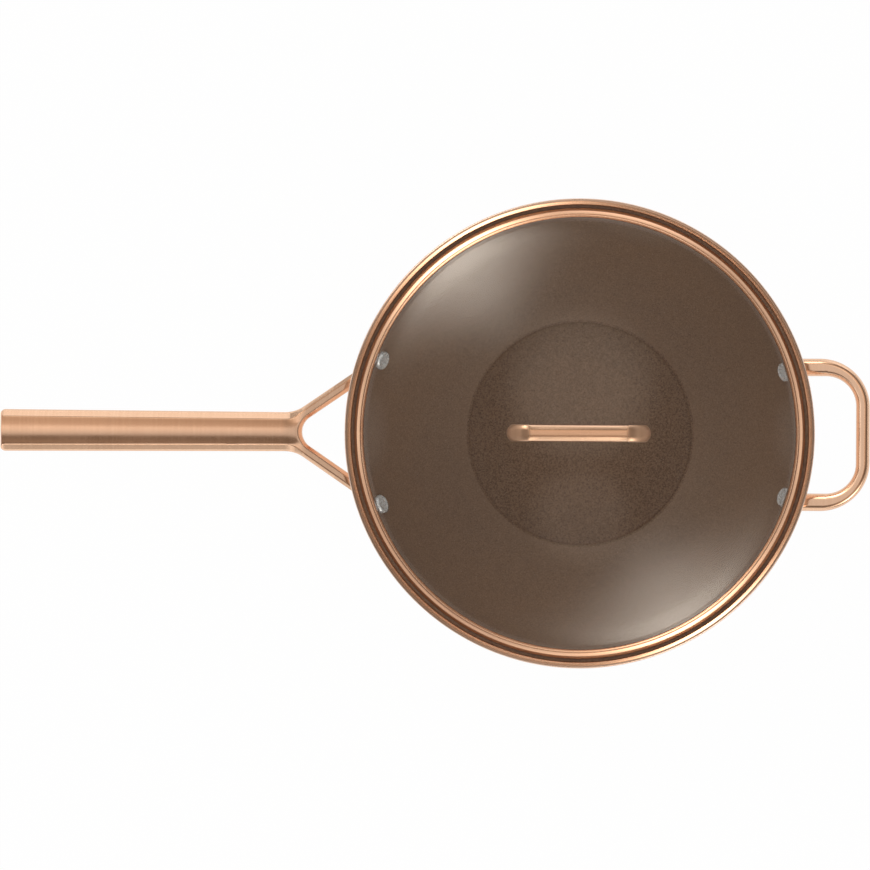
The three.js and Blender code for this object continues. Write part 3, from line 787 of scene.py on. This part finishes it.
lid = {
    "play": 1, "lean": 3, "faceWidth": 4.2, "footWidth": 5.9, "gauge": 0.8, "hem": 0.65, "bead": 1.6,
    "glass": 4, "edge": 1.2, "domeRise": 36, "domeMargin": 0.8,
}
lidLevel = levels("lid_band")[0]
bandOuter = bowl["mouth"] + bowl["ledge"] - lid["play"]
shoulder = bandOuter - lid["lean"]
bandInner = shoulder - lid["faceWidth"]
glassRadius = shoulder - lid["gauge"] - gap
rimUnder = lidLevel + lid["gauge"] + gap
rimTop = rimUnder + lid["glass"]
edgeTop = rimUnder + lid["edge"]
domeRadius = bandInner - lid["domeMargin"]
domeCurve = (domeRadius ** 2 + lid["domeRise"] ** 2) / (2 * lid["domeRise"])
domeTop = rimTop + lid["domeRise"]
domeCentre = domeTop - domeCurve

bar = {
    "screws": 80.6, "depth": 11, "thickness": 9, "bow": 1.2, "flat": 0.6, "leg": 11.4,
    "outerCorner": 16, "innerCorner": 8, "gasket": 5.4, "washer": 5.1, "sleeve": 1.4,
    "screw": 2.5, "screwHead": 4.6, "screwHeadHeight": 2.8, "slot": (4.4, 0.9, 2.6),
    "half": [(0, 0), (0, 1.9, 2), (2.4, 4.9, 1), (3.6, 5.25), (4, 5.42), (4.2, 5.5)],
    "rootDepth": 15, "step": 4, "bendFrom": -4, "legFrom": 7, "change": 8,
}
screwX = bar["screws"] / 2
bore = bar["screw"] + gap


def domeHeight(radius, depth=0):
    return domeCentre + math.sqrt((domeCurve - depth) ** 2 - radius ** 2)


def domeArc(radius, depth, steps=30):
    reach = domeCurve - depth
    limit = math.asin(radius / reach)
    turns = [limit * k / steps for k in range(steps + 1)]
    return [(reach * math.sin(turn), domeCentre + reach * math.cos(turn)) for turn in turns]


def makeGlassDome():
    inner = domeCurve - lid["glass"]
    innerRadius = math.sqrt(inner ** 2 - (rimUnder - domeCentre) ** 2)
    profile = roundCorners([
        *domeArc(innerRadius, lid["glass"]),
        (glassRadius, rimUnder, 0.5),
        (glassRadius, edgeTop, 0.5),
        *domeArc(bandInner + 0.6, 0)[::-1],
    ], closed=False)
    bm = turned(profile, around=192)
    radius = bore + bar["sleeve"] + gap
    for side in (1, -1):
        hole = plug(radius, rimUnder, domeTop + cutReach, around=32)
        hole.transform(Matrix.Translation((side * screwX, 0, 0)))
        bm = combine(bm, hole, "DIFFERENCE")
    addPiece("lidGlass", bm, [glass], "lid", "lid_glass", "lid_glass", sharp=15)


makeGlassDome()


def makeBand():
    footInner = bandOuter - lid["footWidth"]
    inside, insideTop = shoulder - lid["gauge"], edgeTop + gap
    hemUnder = rimTop + (edgeTop - rimTop) * (bandInner - domeRadius) / (glassRadius - domeRadius) + gap
    hemTop = hemUnder + lid["hem"]
    slope = (hemTop - insideTop - lid["gauge"]) / (inside - bandInner)

    # a point of the sloping face, lowered by a depth
    def face(out, depth=0, radius=0):
        return bandInner + out, hemTop - slope * out - depth, radius

    # from the foot, over the shoulder and up the face to the beaded edge, then back inside
    profile = roundCorners([
        (footInner, lidLevel),
        (bandOuter, lidLevel, 0.9),
        face(lid["faceWidth"], 0, 1.4),
        face(lid["bead"] + 0.5, 0, 0.5),
        face(lid["bead"], 0.22, 0.3),
        face(lid["bead"] - 0.5, 0, 0.5),
        face(0, 0.1, 0.5),
        (bandInner, hemUnder, 0.1),
        (inside, insideTop),
        (inside, lidLevel + lid["gauge"]),
        (footInner, lidLevel + lid["gauge"]),
    ])
    # the outer side, below the shoulder, is duller and painted darker: painted shade in the gap between band
    # and lip
    dull = next(i for i, point in enumerate(profile) if point.x < shoulder + 0.3 and point.y > lidLevel + 1)
    bm = turned(profile, around=192, closed=True, zone=lambda i: 1 if i < dull else 0)
    addPiece("lidBand", bm, [copperBand, copperShadedSide], "lid", "lid_copper", "lid_band")


makeBand()
print("lid glass and band made")


# Lid handle and its fastenings

legLevel = levels("lid_handle")[0]
barTop = levels("lid_handle")[1]


def makeBar():
    outerX, innerX = screwX + bar["leg"] / 2, screwX - bar["leg"] / 2
    under = barTop - bar["thickness"]
    drawn = (bar["thickness"] - bar["flat"]) / 2
    root = legLevel - bar["rootDepth"]
    outline = roundCorners([
        (-outerX, root),
        (-innerX, root),
        (-innerX, under, bar["innerCorner"]),
        (innerX, under, bar["innerCorner"]),
        (innerX, root),
        (outerX, root),
        (outerX, barTop, bar["outerCorner"]),
        (-outerX, barTop, bar["outerCorner"]),
    ], step=5)
    half = halfSection(bar["half"])

    # bevelled along the bar, flat across the bends, round at the legs
    def rounding(point):
        along = abs(point.x) - outerX + bar["outerCorner"]
        starts = bar["bendFrom"], bar["legFrom"]
        bend, leg = [min(max((along - start) / bar["change"], 0), 1) for start in starts]
        return bend * bend * (3 - 2 * bend), 4 - 2 * leg

    def place(x, z, level):
        return Vector((x, -level * bar["depth"] / 2, z - bar["bow"] * (x / outerX) ** 2))

    cuts = [((1, 0, 0), [bar["step"] * k for k in range(-6, 7)])]
    bm = plate(outline, bothFaces(half, half), lambda point: (drawn, drawn), place, cuts, rounding)
    bm = combine(bm, plug(outerX + 9, root - 1, legLevel), "DIFFERENCE")
    addPiece("lidHandle", bm, [copperBar], "lid", "lid_copper", "lid_handle")


makeBar()


def makeFastenings(side, direction):
    centre = direction * screwX
    gasket, washer, screwRadius, head = bar["gasket"], bar["washer"], bar["screw"], bar["screwHead"]
    footTop = legLevel - gap
    bushLevel = levels("lid_screw_gasket_" + side)[0]
    washerLow, washerTop = levels("lid_screw_washer_" + side)
    headLow, screwTip = levels("lid_screw_" + side)
    headTop = headLow + bar["screwHeadHeight"]
    sleeve = bore + bar["sleeve"]
    sleeveTop = domeHeight(screwX + sleeve) - gap
    onOuter, onInner = 0, 1  # levels that stand for the glass's two faces
    footProfile = [(bore, onOuter), (gasket, onOuter), (gasket, footTop, 0.5), (bore, footTop)]
    bushProfile = [
        (bore, bushLevel), (gasket, bushLevel, 0.3), (gasket, onInner),
        (sleeve, onInner), (sleeve, sleeveTop), (bore, sleeveTop),
    ]
    washerProfile = [
        (bore, washerLow), (washer, washerLow, 0.25),
        (washer, washerTop, 0.25), (bore, washerTop),
    ]
    rings = [
        ("FootGasket", "lid_foot_gasket_", footProfile, silicone, "silicone"),
        ("Bush", "lid_screw_gasket_", bushProfile, silicone, "silicone"),
        ("Washer", "lid_screw_washer_", washerProfile, screwSteel, "fastener_steel"),
    ]
    for title, node, profile, material, slot in rings:
        bm = turned(roundCorners(profile), around=40, closed=True)
        for vert in bm.verts:
            vert.co.x += centre
            radius = math.hypot(vert.co.x, vert.co.y)
            if abs(vert.co.z - onOuter) < 1e-6:
                vert.co.z = domeHeight(radius) + gap
            elif abs(vert.co.z - onInner) < 1e-6:
                vert.co.z = domeHeight(radius, lid["glass"]) - gap
        addPiece("lid" + title + side.capitalize(), bm, [material], "lid", slot, node + side)
    screwProfile = [
        (0, headLow), (head, headLow, 1.8), (head, headTop, 0.2),
        (screwRadius, headTop), (screwRadius, screwTip), (0, screwTip),
    ]
    screw = turned(roundCorners(screwProfile, closed=False), around=48)
    for k in range(2):
        slotCut = bmesh.new()
        bmesh.ops.create_cube(slotCut, size=1)
        placed = Matrix.Translation((0, 0, headLow)) @ Matrix.Rotation(k * math.pi / 2, 4, "Z")
        slotCut.transform(placed @ Matrix.Diagonal((*bar["slot"], 1)))
        screw = combine(screw, slotCut, "DIFFERENCE")
    screw.transform(Matrix.Translation((centre, 0, 0)))
    name = "lidScrew" + side.capitalize()
    addPiece(name, screw, [screwSteel], "lid", "fastener_steel", "lid_screw_" + side)


makeFastenings("right", 1)
makeFastenings("left", -1)
print("lid handle and fastenings made")


# Studio

studio = {
    "top": (0.12, 0.09, 0.07), "ring": (0.18, 0.155, 0.135), "bright": (0.82, 0.79, 0.76),
    "horizon": (0.38, 0.36, 0.34), "white": (1, 1, 1),
    # tones by degrees from straight up
    "tones": [
        (0, "top"), (26, "top"), (36, "ring"), (61, "ring"), (63, "bright"), (67, "bright"),
        (73, "horizon"), (87, "horizon"), (89, "white"), (90, "white"),
    ],
    # lean along x and y, full and faded radius, all in degrees, and what is added there
    "patches": [
        ((0, 13), (8, 24), (0.56, 0.45, 0.36)),
        ((0, -22), (5, 16), (0.34, 0.27, 0.22)),
        ((54, 79.7), (10, 26), (0.62, 0.6, 0.58)),
        ((-53, -84), (8, 22), (0.5, 0.48, 0.46)),
        ((54, -79.7), (10, 20), (-0.22, -0.21, -0.2)),
        ((66, 0), (5, 14), (0.25, 0.24, 0.23)),
        ((-66, 0), (5, 14), (0.25, 0.24, 0.23)),
    ],
    # direction and width in degrees, and power; then power and width by degrees from straight up
    "windows": [(125, 15, 6), (298, 18, 5)], "window": (1, 0.9, 0.79),
    "windowPower": [
        (30, 0), (34, 0.07), (38, 0.14), (42, 0.25), (46, 0.39), (50, 0.49),
        (54, 0.63), (57, 0.9), (60, 1), (66, 1), (69, 0.1), (72, 0),
    ],
    "windowWidth": [(20, 0.12), (40, 0.48), (54, 0.9), (57, 0.8), (61, 0.4), (70, 0.4)],
    "light": 1.85,
}


def makeWorld():
    world = bpy.data.worlds.new("studio")
    scene.world = world
    world.use_nodes = True
    tree = world.node_tree
    toward = addNode(tree, "TexCoord").outputs["Generated"]
    split = addNode(tree, "SeparateXYZ", {0: toward})
    fromTop = math2(tree, "MULTIPLY", math2(tree, "ARCCOSINE", split.outputs["Z"]), 180 / math.pi)

    def ramp(stops):
        made = addNode(tree, "ValToRGB", {0: math2(tree, "DIVIDE", fromTop, 90.0)})
        elements = made.color_ramp.elements
        while len(elements) < len(stops):
            elements.new(0.5)
        for element, (degrees, color) in zip(elements, stops):
            element.position = degrees / 90
            element.color = (*color, 1)
        return made.outputs["Color"]

    def grey(stops):
        return ramp([(degrees, (share, share, share)) for degrees, share in stops])

    def along(direction):
        made = addNode(tree, "VectorMath", {0: toward, 1: direction}, operation="DOT_PRODUCT")
        return made.outputs["Value"]

    def fade(value, outer, inner):
        limits = {"Value": value, "From Min": outer, "From Max": inner}
        return addNode(tree, "MapRange", limits, interpolation_type="SMOOTHSTEP").outputs["Result"]

    def add(first, second):
        return addNode(tree, "VectorMath", {0: first, 1: second}, operation="ADD").outputs[0]

    def scaled(color, amount):
        return addNode(tree, "VectorMath", {0: color, "Scale": amount}, operation="SCALE").outputs[0]

    total = ramp([(degrees, studio[tone]) for degrees, tone in studio["tones"]])

    # soft round patches, one of them dark
    for (leanX, leanY), (inner, outer), color in studio["patches"]:
        toX, toY = math.tan(math.radians(leanX)), math.tan(math.radians(leanY))
        facing = along(Vector((toX, toY, 1)).normalized())
        share = fade(facing, math.cos(math.radians(outer)), math.cos(math.radians(inner)))
        total = add(total, scaled(color, share))

    # tall windows that fade towards the top
    flat = math2(tree, "MAXIMUM", fromAxis(tree, split), 0.001)
    tall = grey(studio["windowPower"])
    spreading = grey(studio["windowWidth"])
    for turn, width, power in studio["windows"]:
        turn, width = math.radians(turn), math.radians(width)
        aligned = math2(tree, "DIVIDE", along((math.cos(turn), math.sin(turn), 0)), flat)
        falling = math2(tree, "DIVIDE", math2(tree, "SUBTRACT", aligned, 1.0), spreading)
        falling = math2(tree, "MULTIPLY", falling, width ** -2)
        share = math2(tree, "MULTIPLY", math2(tree, "EXPONENT", falling), tall)
        total = add(total, scaled(studio["window"], math2(tree, "MULTIPLY", share, power)))

    tree.links.new(total, tree.nodes["Background"].inputs["Color"])


makeWorld()


# Plain soft light from the whole sky; the metal and the glass mirror the studio instead
def makeLight():
    lamp = bpy.data.lights.new("softLight", "SUN")
    lamp.energy = studio["light"]
    lamp.angle = math.radians(170)
    placed = bpy.data.objects.new("softLight", lamp)
    placed.visible_glossy = False
    placed.visible_transmission = False
    scene.collection.objects.link(placed)


makeLight()


# Soft boxes, each lighting only the pieces that it names, leaning along X
softBoxes = {
    "gripBox": {
        "pieces": ["longHandle"], "over": (-270, 5, 110), "lean": 18, "away": 1000,
        "size": (700, 300), "level": 0.48,
    },
    "barBox": {
        "pieces": ["lidHandle"], "over": (0, 0, 160), "lean": 0, "away": 1000,
        "size": (1500, 140), "level": 0.22,
    },
    "helperBox": {
        "pieces": ["helperHandle"], "over": (188, 0, 100), "lean": -40, "away": 500,
        "size": (600, 420), "level": 0.55,
    },
    "rivetBox": {
        "pieces": rivetPieces, "over": (0, 0, 80), "lean": 0, "away": 400,
        "size": (460, 460), "level": 2.6,
    },
}


def makeBox(name, box):
    lamp = bpy.data.lights.new(name, "AREA")
    lamp.shape = "RECTANGLE"
    lamp.size, lamp.size_y = [side * mm for side in box["size"]]
    lamp.energy = box["level"] * math.pi * lamp.size * lamp.size_y
    placed = bpy.data.objects.new(name, lamp)
    lean = math.radians(box["lean"])
    placed.location = (Vector(box["over"]) + Vector((math.sin(lean), 0, math.cos(lean))) * box["away"]) * mm
    placed.rotation_euler.y = lean
    placed.visible_camera = False
    lit = bpy.data.collections.new(name)
    for piece in box["pieces"]:
        lit.objects.link(bpy.data.objects[piece])
    placed.light_linking.receiver_collection = lit
    scene.collection.objects.link(placed)


for name, box in softBoxes.items():
    makeBox(name, box)


# radius in metres, the drop under the base in millimetres; how white the eye and the metal see it
ground = {
    "radius": 9, "drop": 0.3, "tone": 0.62, "roughness": 0.9, "shine": 0.1, "seen": 0.98, "mirrored": 0.6,
}


def makeFloor():
    bm = bmesh.new()
    bmesh.ops.create_circle(bm, cap_ends=True, radius=ground["radius"], segments=128)
    mesh = bpy.data.meshes.new("floor")
    bm.to_mesh(mesh)
    bm.free()
    floor = bpy.data.objects.new("floor", mesh)
    floor.location.z = -ground["drop"] * mm
    scene.collection.objects.link(floor)
    material, tree, shader, where = newMaterial("white floor")
    shader.inputs["Base Color"].default_value = (*[ground["tone"]] * 3, 1)
    shader.inputs["Roughness"].default_value = ground["roughness"]
    shader.inputs["Specular IOR Level"].default_value = ground["shine"]
    glow = addNode(tree, "Emission", {"Color": (1, 1, 1, 1), "Strength": 1.0})
    rays = addNode(tree, "LightPath")
    direct = math2(tree, "MAXIMUM", rays.outputs["Is Camera Ray"], rays.outputs["Is Transmission Ray"])
    glossy = math2(tree, "MULTIPLY", rays.outputs["Is Glossy Ray"], ground["mirrored"])
    share = math2(tree, "MAXIMUM", math2(tree, "MULTIPLY", direct, ground["seen"]), glossy)
    both = addNode(tree, "MixShader", {0: share, 1: shader.outputs[0], 2: glow.outputs[0]})
    tree.links.new(both.outputs[0], tree.nodes["Material Output"].inputs["Surface"])
    mesh.materials.append(material)


makeFloor()

view = {"above": (20, -5), "distance": 3200, "aim": (-93.6, -1.6), "width": 564.5, "roll": 0.35, "sensor": 36}


def makeCamera():
    camera = bpy.data.cameras.new("camera")
    placed = bpy.data.objects.new("camera", camera)
    scene.collection.objects.link(placed)
    eye = Vector((*view["above"], lipTop + view["distance"])) * mm
    aim = Vector((*view["aim"], lipTop)) * mm
    placed.location = eye
    back = (eye - aim).normalized()
    up = Matrix.Rotation(math.radians(view["roll"]), 3, "Z") @ Vector((0, 1, 0))
    right = up.cross(back).normalized()
    placed.rotation_euler = Matrix((right, back.cross(right), back)).transposed().to_euler()
    camera.sensor_width = view["sensor"]
    camera.lens = view["sensor"] * (aim - eye).length / (view["width"] * mm)
    camera.clip_end = 50
    scene.camera = placed


makeCamera()
scene.view_settings.view_transform = "Standard"
print("studio and camera made")
